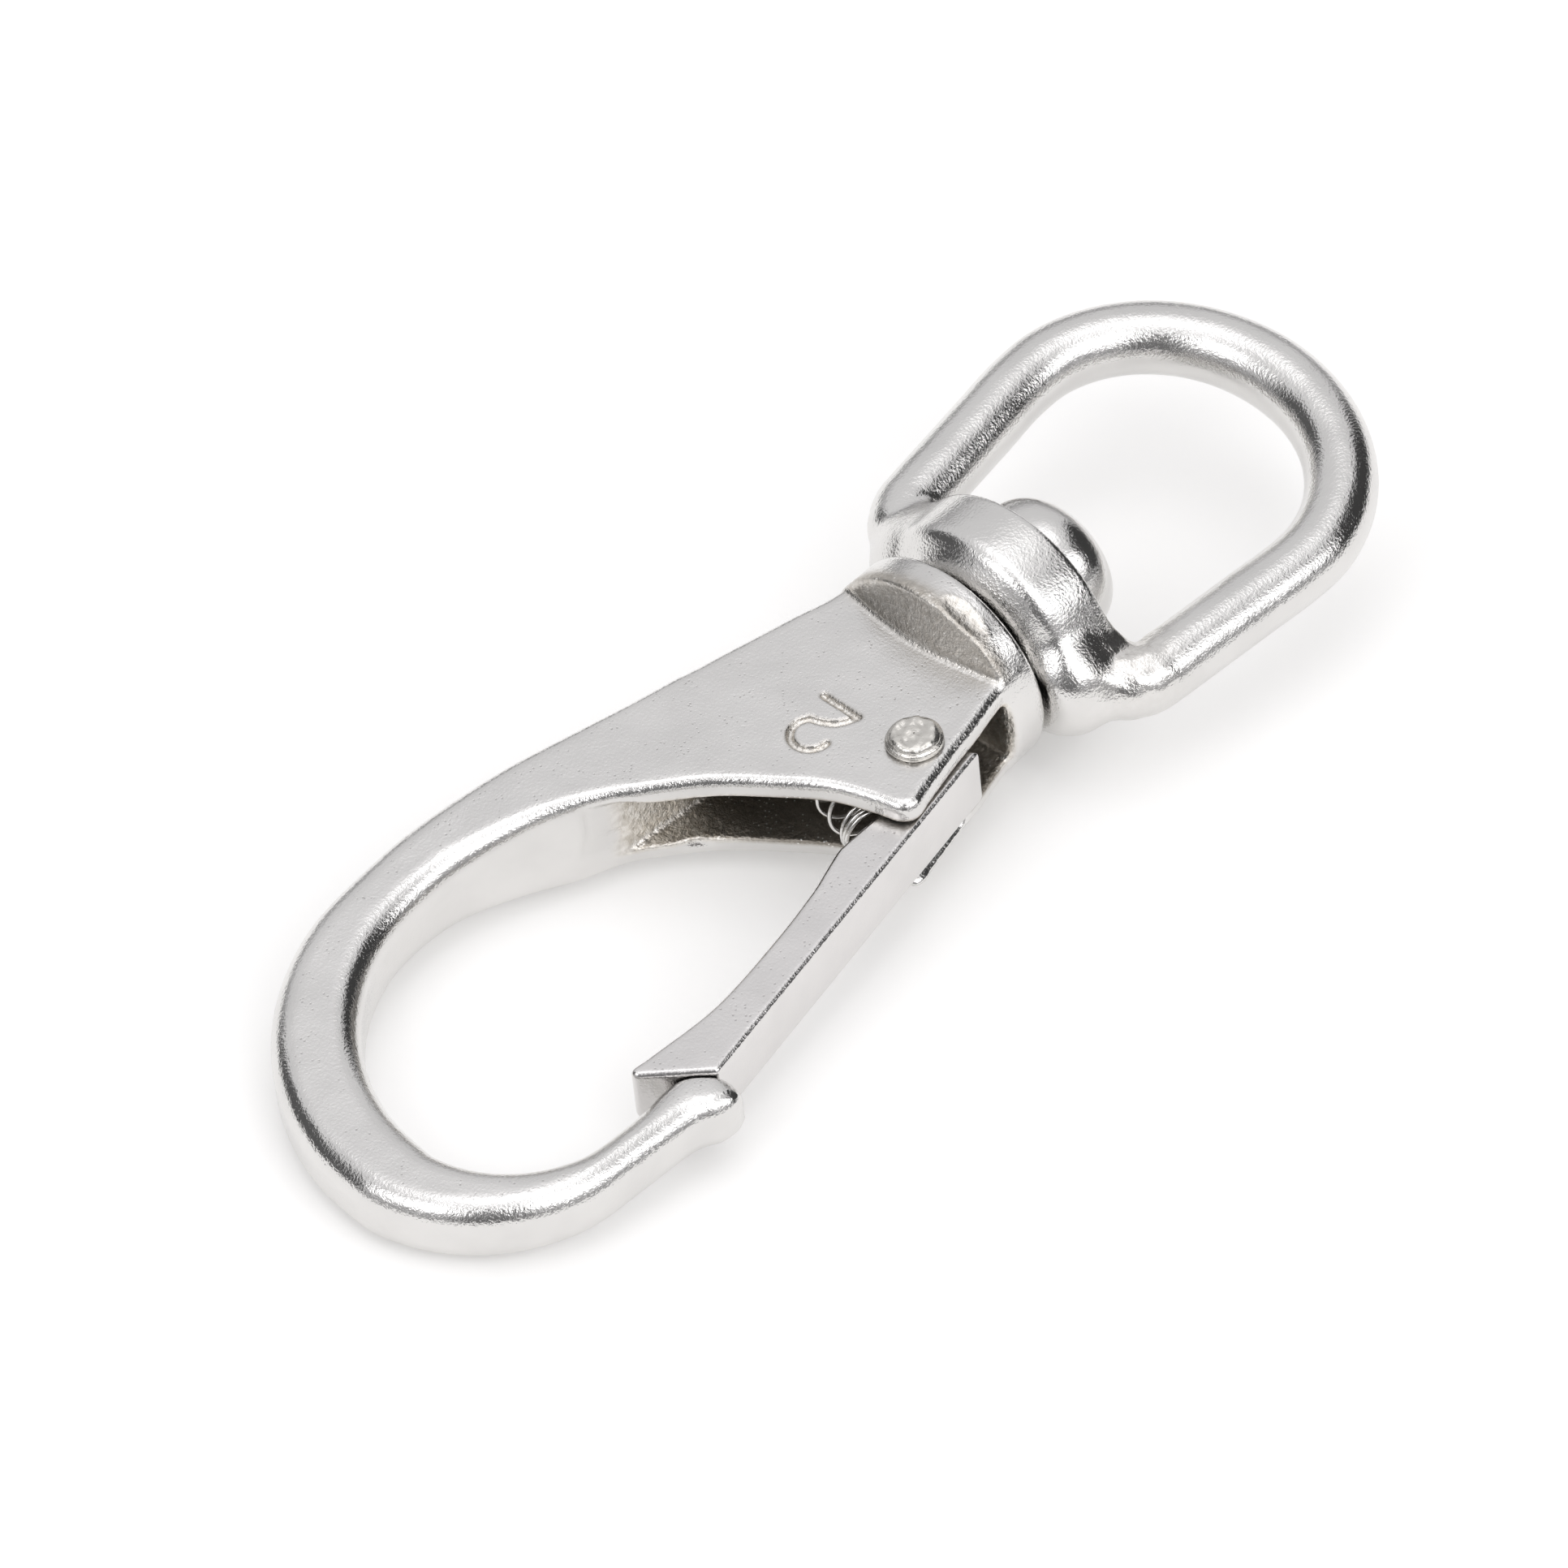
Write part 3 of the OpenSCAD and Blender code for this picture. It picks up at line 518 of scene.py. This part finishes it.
def steel(name, colour, roughness, satin_roughness=0.3, grain=1.0):
    """Polished cast steel. The bump is made of broad dips, of tumbling marks and of fine grain,
    each a noise of its own size in mm. The mark "satin" says where the surface is matt, "raw"
    where it is as it was cast, and "dark" where shade is painted in as a darker colour."""
    material = bpy.data.materials.new(name)
    material.use_nodes = True
    tree = material.node_tree
    shader = tree.nodes["Principled BSDF"]
    place = Value(tree, tree.nodes.new("ShaderNodeTexCoord").outputs["Object"])

    def noise(size, detail=2.0, rough=0.5):
        return place.node("TexNoise", {}, {"Vector": place, "Scale": 1000 / size, "Detail": detail,
                                           "Roughness": rough})

    def mark(attribute):
        return place.node("Attribute", {"attribute_name": attribute}, {}, out="Fac")

    satin, raw, dark = mark("satin"), mark("raw"), mark("dark")
    fleck_size = 0.36
    fleck = place.node("TexVoronoi", {}, {"Vector": place, "Scale": 1000 / fleck_size}, out="Distance")
    pits = 1 - fleck.rise(0.12, 0.26)
    patchy = noise(1.3, 1.0)
    tone = noise(5.0, 3.0).rise(0.3, 0.7).tint((*(0.94 * c for c in colour), 1), (*colour, 1))
    cast = noise(0.5, 3.0).rise(0.3, 0.7).tint((0.6, 0.56, 0.5, 1), (0.85, 0.82, 0.77, 1))
    base = place.node("Mix", {"data_type": "RGBA"}, {0: raw, 6: tone, 7: cast}, out=2)
    # Painted shade: where the mark "dark" is, the colour turns a dark brown with light flecks.
    painted_shade_colour = (pits * patchy.rise(0.38, 0.5)).tint((0.3, 0.275, 0.24, 1), (1.0, 1.0, 0.98, 1))
    base = place.node("Mix", {"data_type": "RGBA"}, {0: dark, 6: base, 7: painted_shade_colour}, out=2)
    speck = patchy.rise(0.48, 0.6) * pits * satin * 0.5
    base = place.node("Mix", {"data_type": "RGBA"}, {0: speck, 6: base, 7: (0.3, 0.29, 0.28, 1)}, out=2)
    fine = noise(0.2, 2.0, 0.6)
    wave = noise(0.7, 2.0)
    dips = noise(3.2, 1.0)
    height = (dips * 0.07 + wave * 0.016 * (1 - satin * 0.7) + fine * 0.033 * (1 - satin * 0.35)) * grain
    height = height + raw * noise(0.42, 3.0, 0.6) * 0.11 - pits * satin * patchy.rise(0.45, 0.6) * 0.012
    bump = place.node("Bump", {}, {"Height": height, "Distance": 0.001, "Strength": 1.0})
    gloss = roughness + satin * (satin_roughness - roughness) + raw * 0.25 + dark * 0.1
    for socket, value in (("Base Color", base), ("Roughness", gloss), ("Normal", bump)):
        tree.links.new(value.socket, shader.inputs[socket])
    shader.inputs["Metallic"].default_value = 1.0
    return material


steel_colour = (0.74, 0.73, 0.715)
cast_steel = steel("polished_casting", steel_colour, 0.09)
hx, hy, hz = hook_points.T
channel_gap = channel_field(hx, hy, hz)
hook_satin = rise(np.abs(hook_normals[:, 2]), 0.97, 0.995)
in_channel = 1 - rise(channel_gap, 0.1, 0.35)
hook_raw = in_channel * rise(hx, channel_lip[0] + 0.2, channel_lip[0] + 2.2)
# Cast ripples are left along the foot of the collar's scoop, and on the flat of its rim. The foot also
# gets painted shade.
ripple_off = 0.45
foot_x = -collar_l + scoop_l * (np.hypot(hy, hz) - scoop_in) / scoop_h - ripple_off
foot_ripples_and_shade = np.exp(-((hx - foot_x) / 0.6)**2) * rise(hz, 3.8, 4.1) * (1 - rise(np.abs(hy), 6.2, 7.4))
rim_flat = 1 - rise(np.hypot((hx - patch_x) / 0.9, (hy + 3.0) / 2.2), 0.8, 1.1)
hook_raw = np.maximum(hook_raw, np.maximum(0.9 * foot_ripples_and_shade, 0.7 * rim_flat * rise(hz, 5, 6)))
number_near = to_line(hx, hy, digit_line)[0]
in_number = (1 - rise(number_near, 0.2, 0.32)) * rise(hz, 3.3, 3.6)
hook_raw = np.maximum(hook_raw, 0.8 * in_number)
# Painted shade, as the mark "dark": a darker colour along the number's edges, deep in the channel and
# along the scoop's foot.
number_edge_shade = np.exp(-((number_near - 0.3) / 0.1)**2) * rise(hz, 3.3, 3.6)
hook_painted_shade = in_channel * rise(hx, -20.5, -17.5) * (1 - rise(hx, -4.5, -3.5))
hook_painted_shade = np.maximum(hook_painted_shade, np.maximum(0.5 * number_edge_shade, 0.5 * foot_ripples_and_shade))
hook_piece = add_piece("hook_casting", hook_points, hook_faces, "body", "hook_body",
                       hook_satin * (1 - hook_raw), hook_raw, hook_painted_shade)
hook_piece.data.materials.append(cast_steel)

# ---- Gate rivet -----------------------------------------------------------------------------
# A steel pin through both cheeks and the gate, with its ends hammered over into low buttons.

rivet_r, rivet_head_h = 1.4, 1.0


def turned(profile, sides, axis_place, bumps=None):
    """A profile of [distance along, radius] points carried round an axis through a place, as a
    grid of points and its faces. Both ends of the profile have radius 0."""
    profile = np.asarray(profile, float)
    angle = 2 * np.pi * np.arange(sides) / sides
    along = np.repeat(profile[1:-1, :1], sides, 1)
    radius = np.repeat(profile[1:-1, 1:], sides, 1)
    if bumps is not None:
        along, radius = bumps(along, radius, angle[None, :])
    ring = np.stack([along, radius * np.cos(angle), radius * np.sin(angle)], -1).reshape(-1, 3)
    points = np.vstack([ring, [[profile[0, 0], 0, 0], [profile[-1, 0], 0, 0]]]) + axis_place
    rows = len(profile) - 2
    k, j = np.meshgrid(np.arange(rows - 1), np.arange(sides), indexing="ij")
    i = (j + 1) % sides
    row, after = k * sides, (k + 1) * sides
    faces = np.stack([row + j, row + i, after + i, after + j], -1).reshape(-1, 4)
    j = np.arange(sides)
    i = (j + 1) % sides
    start, end, last = rows * sides, rows * sides + 1, (rows - 1) * sides
    caps = np.vstack([np.stack([np.full(sides, start), i, j], 1),
                      np.stack([np.full(sides, end), last + j, last + i], 1)])
    return points, faces[:, ::-1].tolist() + caps.tolist()


def hammered(seed, waves):
    """A lumpy surface over the plane: a sum of cosines of seeded directions and pitches."""
    draw = np.random.default_rng(seed)
    turn, phase = draw.uniform(0, 2 * np.pi, waves), draw.uniform(0, 2 * np.pi, waves)
    pitch = draw.uniform(4.0, 13.0, waves)

    def height(u, v):
        ways = pitch[:, None] * (np.cos(turn)[:, None] * u.ravel() + np.sin(turn)[:, None] * v.ravel())
        return (np.cos(ways + phase[:, None]) / pitch[:, None]).sum(0).reshape(u.shape)

    return height


peen = hammered(7, 14)


def peened(along, radius, angle):
    """Lumps on the flat top of each head, and a slightly uneven rim."""
    lump = peen(radius * np.cos(angle), radius * np.sin(angle))
    end = rise(np.abs(along), half_cheek + 0.45 * rivet_head_h, half_cheek + 0.9 * rivet_head_h)
    rim = rise(np.abs(along), half_cheek, half_cheek + 0.2)
    return (along + np.sign(along) * end * 0.07 * lump,
            radius * (1 + 0.02 * rim * np.cos(2 * angle + 1) + 0.012 * rim * np.cos(5 * angle)))


head_curve = through([[0.02, 1.78], [0.12, 1.9], [0.32, 1.93], [0.5, 1.86], [0.6, 1.72], [0.72, 1.66],
                      [0.86, 1.54], [0.95, 1.34], [0.94, 1.0], [0.92, 0.6], [0.93, 0.03]], 6)
rivet_top = np.vstack([[[0.02, rivet_r]], head_curve, [[0.94, 0.0]]]) + [half_cheek, 0]
rivet_profile = np.vstack([(rivet_top * [-1, 1])[::-1], rivet_top])
rivet_points, rivet_faces = turned(rivet_profile, 72, (0, 0, 0), peened)
rivet_points = rivet_points[:, [1, 2, 0]] + [*pivot, 0]
rivet_satin = rise(np.abs(rivet_points[:, 2]), half_cheek + 0.7, half_cheek + 0.95)
# Painted shade: a darker ring at the foot of each head, where it meets the cheek.
rivet_foot_shade = 1 - rise(np.abs(rivet_points[:, 2]), half_cheek, half_cheek + 0.3)
rivet_piece = add_piece("rivet", rivet_points, rivet_faces, "body", "gate_rivet",
                        satin=0.5 * rivet_satin, dark=0.5 * rivet_foot_shade)
rivet_piece.data.materials.append(steel("hammered_steel", (0.7, 0.68, 0.64), 0.18, 0.34))

# ---- Gate -----------------------------------------------------------------------------------
# A stamped and tumbled steel bar that turns on the rivet. Its own directions are u, from the
# pivot to the tip, and v, outwards. Its end is slanted to lie against the nose.

gate_face, gate_bar, gate_hook, gate_half_t = 3.1, 2.9, 2.4, 2.4
bar_v = gate_face - gate_bar
heel_l, knuckle_r = 2.7, 2.25
spring_seat = (5.3, 0.2)
seat_gap = 0.15
tip_drop = 2.25  # how far down the seat's slant the gate's outer corner is
seat_out = np.array([math.cos(seat_angle), math.sin(seat_angle)])
seat_down = np.array([math.sin(seat_angle), -math.cos(seat_angle)])
reach_to_tip = np.array(seat) + seat_gap * seat_out + tip_drop * seat_down - pivot
tip_far = np.linalg.norm(reach_to_tip)
gate_angle = math.atan2(reach_to_tip[1], reach_to_tip[0]) - math.asin(gate_face / tip_far)
gate_u = np.array([math.cos(gate_angle), math.sin(gate_angle)])
gate_v = np.array([-gate_u[1], gate_u[0]])
# The outer side ends at gate_l. The hooked inner corner reaches further, down the end's slant.
gate_l = math.sqrt(tip_far**2 - gate_face**2)
hook_l = gate_l - (gate_bar + gate_hook) * (seat_down @ gate_u) / (seat_down @ gate_v)
gate_inner = through([
    [0.2 - heel_l, -0.4], [-0.86 * knuckle_r, -0.7 * knuckle_r], [0, -knuckle_r],
    [0.75 * knuckle_r, -0.7 * knuckle_r], [knuckle_r + 0.2, 0.1], [3.7, 0.65], [*spring_seat],
    [8.2, -0.3], [9.2, -0.36], [11.12, -0.12], [13.12, 0.1], [17.75, bar_v], [gate_l - 4.6, bar_v - 0.3],
    [hook_l - 2.9, bar_v - 1.55], [hook_l - 1.5, bar_v - gate_hook + 0.44]], 10)
tip_round = on_arc((hook_l - 1.06, bar_v - gate_hook + 0.78), 0.45, np.linspace(-106, 34, 7))
gate_outline = np.vstack([[[-heel_l, gate_face]], gate_inner, tip_round, [[gate_l, gate_face]]])


def gate_edge(u, v):
    """Distance to the gate's outline, below 0 inside it."""
    near, _, _, side = to_line(u, v, gate_outline, closed=True)
    return [near * side]


gate_plan = PlanMap((-5, -5), (34, 5), 0.1, gate_edge)


def gate_field(u, v, z):
    """Distance to the gate: a bar with slightly rounded edges, less the rivet's hole."""
    rounding = 0.42 + 0.5 * rise(u, 29.5, 31.5) * rise(-z, -1, 1)
    bar = slab(gate_plan(u, v)[0], z, gate_half_t, rounding)
    return both(bar, rivet_r + 0.08 - np.hypot(u, v), 0.1)


gate_points, gate_faces, gate_normals = cast_skin(
    gate_field, spaced(-3.6, 32.6, 0.15), spaced(-3.0, 3.2, 0.11), spaced(-2.9, 2.9, 0.11), 4)
gate_satin = rise(np.abs(gate_normals[:, 2]), 0.97, 0.995)
gate_plan_place = pivot + gate_points[:, :1] * gate_u + gate_points[:, 1:2] * gate_v
gate_piece = add_piece("gate_bar", np.hstack([gate_plan_place, gate_points[:, 2:]]), gate_faces,
                       "gate", "gate", satin=gate_satin)
gate_piece.data.materials.append(steel("tumbled_steel", (0.73, 0.715, 0.705), 0.16, 0.33, 0.8))

# ---- Gate spring ----------------------------------------------------------------------------
# Bright drawn wire, wound with open turns between two closed ends. It stands between its seat on the
# gate and the channel's back, at its length with the gate shut; the mesh is not pushed together as the
# gate opens.

spring_wire, spring_r, open_turns, closed_turns = 0.3, 1.9, 6, 2
spring_play = 0.1
spring_lean = math.radians(70)
seat_faces = math.radians(85)  # the way that the seat on the gate faces
spring_axis = np.array([math.cos(spring_lean), math.sin(spring_lean)])
spring_out = spring_r + spring_wire / 2
spring_lift = spring_wire / 2 + spring_play + spring_out * math.tan(seat_faces - spring_lean)
spring_foot = pivot + spring_seat[0] * gate_u + spring_seat[1] * gate_v + spring_lift * spring_axis
# Its length is what is left to the channel's slanted back, less the play and its tilted end.
back_slant = math.atan2(channel_run[1], channel_run[0])
back_normal = np.array([-channel_run[1], channel_run[0]])
spring_room = (channel_rear - spring_foot) @ back_normal / (spring_axis @ back_normal)
end_tilt = abs(math.tan(math.pi / 2 + back_slant - spring_lean))
spring_l = spring_room - spring_play - spring_wire / 2 - spring_out * end_tilt
all_turns = open_turns + 2 * closed_turns
closed_l = closed_turns * (spring_wire + 0.02)


def coil(sides, steps):
    """Wire carried along a helix. At turn t its centre is spring_r from the axis at the angle
    of t turns. Its height goes up by little more than the wire's width a turn at the ends, and
    evenly between."""
    t = np.arange(steps * all_turns + 1) / steps
    rise_at = np.interp(t, [0, closed_turns, closed_turns + open_turns, all_turns],
                        [0, closed_l, spring_l - closed_l, spring_l])
    turn, side = 2 * np.pi * t[:, None], 2 * np.pi * np.arange(sides)[None] / sides
    radius = spring_r + spring_wire / 2 * np.cos(side)
    height = rise_at[:, None] + spring_wire / 2 * np.sin(side)
    grid = np.stack([radius * np.cos(turn), radius * np.sin(turn), height], -1)
    k, j = np.meshgrid(np.arange(len(t) - 1), np.arange(sides), indexing="ij")
    i = (j + 1) % sides
    row, after = k * sides, (k + 1) * sides
    faces = np.stack([row + j, after + j, after + i, row + i], -1).reshape(-1, 4)
    ends = [list(range(sides)), [(len(t) - 1) * sides + q for q in reversed(range(sides))]]
    return grid.reshape(-1, 3), faces.tolist() + ends


coil_points, coil_faces = coil(12, 36)
side_way = np.array([-spring_axis[1], spring_axis[0]])
spring_points = np.hstack([spring_foot + coil_points[:, 2:] * spring_axis + coil_points[:, :1] * side_way,
                           coil_points[:, 1:2]])
spring_piece = add_piece("spring_wire", spring_points, coil_faces, None, "gate_spring")
spring_piece.data.materials.append(steel("drawn_wire", (0.78, 0.77, 0.75), 0.12, 0.2, 0.3))
spring_top = np.array([*(spring_foot + spring_l * spring_axis), 0.0])
spring_base = np.array([*spring_foot, 0.0])
tuple(lie(spring_base))
tuple(lie(spring_top))
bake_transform(spring_piece)

# ---- Swivel pin -----------------------------------------------------------------------------
# A turned steel pin, peened into the collar. Its forged button head holds the eye.

pin_r, head_x, head_l, head_r = 2.6, 6.93, 5.6, 5.3
pin_profile = np.vstack([
    [[-2.9, 0], [-2.9, 2.5], [-2.8, pin_r], [head_x - 0.02, pin_r], [head_x, pin_r + 0.05],
     [head_x, head_r - 0.9]],
    through([[head_x + 0.02, head_r - 0.66], [head_x + 0.2, head_r - 0.4], [head_x + 0.6, head_r - 0.2],
             [head_x + 1.3, head_r - 0.05], [head_x + 2.2, head_r], [head_x + 3.1, head_r - 0.12],
             [head_x + 3.8, head_r - 0.42], [head_x + 4.35, head_r - 0.9], [head_x + 4.8, head_r - 1.6],
             [head_x + 5.15, head_r - 2.4], [head_x + 5.4, head_r - 3.3], [head_x + 5.55, head_r - 4.3],
             [head_x + head_l, head_r - 5.2]], 8), [[head_x + head_l, 0]]])
pin_points, pin_faces = turned(pin_profile, 144, (0, 0, 0))
# The head was forged a little off the shank's middle.
pin_points[:, 1:] += rise(pin_points[:, :1], head_x - 0.1, head_x + 0.05) * [0.3, 0.18]
pin_piece = add_piece("headed_pin", pin_points, pin_faces, "body", "swivel_pin")
pin_piece.data.materials.append(steel("forged_head", steel_colour, 0.12, 0.3, 0.7))

# ---- Swivel eye -----------------------------------------------------------------------------
# One steel casting: a boss that turns on the pin, and a bow of round wire whose legs come out of
# two lobes at its sides. It lies rolled a little about the swivel.

boss_x0, boss_x1, boss_r = swivel_gap, 6.75, 8.4
bow_x, bow_r, bow_stretch = 21.35, 12.18, 0.93
leg_wire_r, bow_wire_r = 2.42, 2.6
eye_roll = math.radians(5.5)
elbow_r, elbow_turn, elbow_x, root_l = 3.6, 45, boss_x1 + 1.25, 3.6


def half_bow(lean_degrees):
    """Half of the bow's centre line, as rows of x, y and wire radius: a straight root, an elbow,
    a leg that leans in towards the boss, and a quarter of the bow's flattened arc."""
    lean = math.radians(lean_degrees)
    leg_top = np.array([bow_x - bow_stretch * bow_r * math.sin(lean), bow_r * math.cos(lean)])
    elbow = np.array([elbow_x, leg_top[1] - (leg_top[0] - elbow_x) * math.tan(lean)])
    centre = elbow + elbow_r * np.array([math.sin(lean), -math.cos(lean)])
    bend = np.radians(np.arange(elbow_turn, -1, -15))
    curve = centre + elbow_r * np.stack([-np.sin(lean + bend), np.cos(lean + bend)], 1)
    root = math.radians(lean_degrees + elbow_turn)
    start = curve[0] - root_l * np.array([math.cos(root), math.sin(root)])
    leg = elbow + np.array([[0.35], [0.7], [1.0]]) * (leg_top - elbow)
    arc = np.radians(np.arange(80, -1, -16))
    top = np.stack([bow_x + bow_stretch * bow_r * np.cos(arc), bow_r * np.sin(arc)], 1)
    line = np.vstack([start, curve, leg, top])
    elbow_radius = leg_wire_r + 0.1 * np.degrees(bend) / elbow_turn
    top_radius = bow_wire_r + (leg_wire_r - bow_wire_r) * np.degrees(arc) / 100
    radius = np.concatenate([[leg_wire_r], elbow_radius, [leg_wire_r] * 3, top_radius])
    return np.hstack([line, radius[:, None]])


bow_line = through(np.vstack([half_bow(7), (half_bow(5.3) * [1, -1, 1])[-2::-1]]), 12)


def eye_values(x, y):
    """Plan values of the eye: square of the distance to the bow's centre line, and the wire's
    radius there."""
    near, k, t, _ = to_line(x, y, bow_line[:, :2])
    k = k.astype(int)
    return near**2, bow_line[k, 2] * (1 - t) + bow_line[k + 1, 2] * t


eye_plan = PlanMap((-1.0, -17.5), (37.5, 17.5), 0.2, eye_values)


def ball(x, y, z, centre, radii):
    """Near enough the distance to an ellipsoid: its radius-scaled distance less 1, over the
    slope of that."""
    q = [(v - c) / s for v, c, s in zip((x, y, z), centre, radii)]
    k0 = np.sqrt(q[0]**2 + q[1]**2 + q[2]**2)
    k1 = np.sqrt((q[0] / radii[0])**2 + (q[1] / radii[1])**2 + (q[2] / radii[2])**2) + 1e-6
    return k0 * (k0 - 1) / k1


def lumps(seed, waves, pitch):
    """Uneven ground through space: a sum of cosines of seeded directions, about pitch apart."""
    draw = np.random.default_rng(seed)
    way = draw.normal(size=(waves, 3))
    way *= 2 * np.pi / pitch / np.linalg.norm(way, axis=1)[:, None] * draw.uniform(0.6, 1.5, (waves, 1))
    phase = draw.uniform(0, 2 * np.pi, waves)

    def height(x, y, z):
        return sum(np.cos(w[0] * x + w[1] * y + w[2] * z + p) for w, p in zip(way, phase)) / waves**0.5

    return height


eye_lumps = lumps(5, 12, 1.7)
eye_lobes = (((3.9, 7.0, 0), (2.3, 2.8, 3.4)), ((2.9, -7.6, 0), (2.5, 2.95, 3.6)))  # middle, radii


def eye_field(x, y, z):
    """Distance to the eye: the wire, the boss's bevelled drum and its two lobes, filleted into
    each other, less the pin's hole."""
    off_squared, wire = eye_plan(x, y)
    bow = np.sqrt(np.maximum(off_squared, 0) + z**2) - wire
    out = np.hypot(y, z)
    barrel = out - boss_r + 0.012 * (x - 5.2)**2
    bevel = (1.35 * (out - 8.15) - 1.55 * (x - 2.5)) / math.hypot(1.35, 1.55)
    drum = both(both(barrel, bevel, 0.5), both(boss_x0 - x, x - boss_x1, 0.3), 0.4)
    far_lobe, near_lobe = (ball(x, y, z, *lobe) for lobe in eye_lobes)
    drum = either(drum, np.minimum(far_lobe, near_lobe), 1.4)
    fillet = 1.0 + 2.0 * (1 - rise(np.abs(y), 7.0, 10.5))
    solid = both(either(drum, bow, fillet), 0.4 - x, 0.6)
    rough = np.exp(-((x - 6.3)**2 + (y + 10.0)**2 + (z - 0.8)**2) / 7)
    solid = solid - 0.1 * rough * eye_lumps(x, y, z)
    return both(solid, -np.maximum(out - pin_r - 0.1, x - boss_x1 - 1), 0.1)


eye_points, eye_faces, _ = cast_skin(
    eye_field, spaced(0.2, 36.2, 0.24, [(0, 12.5, 0.19)]),
    spaced(-15.6, 15.6, 0.24, [(-15.6, -5, 0.22), (5, 15.6, 0.22)]),
    spaced(-9.0, 9.0, 0.24, [(-4.5, 4.5, 0.22)]))
eye_raw = 0.4 * np.exp(-((eye_points - [6.5, -9.5, 1.5])**2).sum(1) / 9)
roll_cos, roll_sin = math.cos(eye_roll), math.sin(eye_roll)
roll = np.array([[1, 0, 0], [0, roll_cos, roll_sin], [0, -roll_sin, roll_cos]])
eye_piece = add_piece("eye_casting", eye_points @ roll, eye_faces, "eye", "swivel_eye",
                      raw=eye_raw)
eye_piece.data.materials.append(cast_steel)
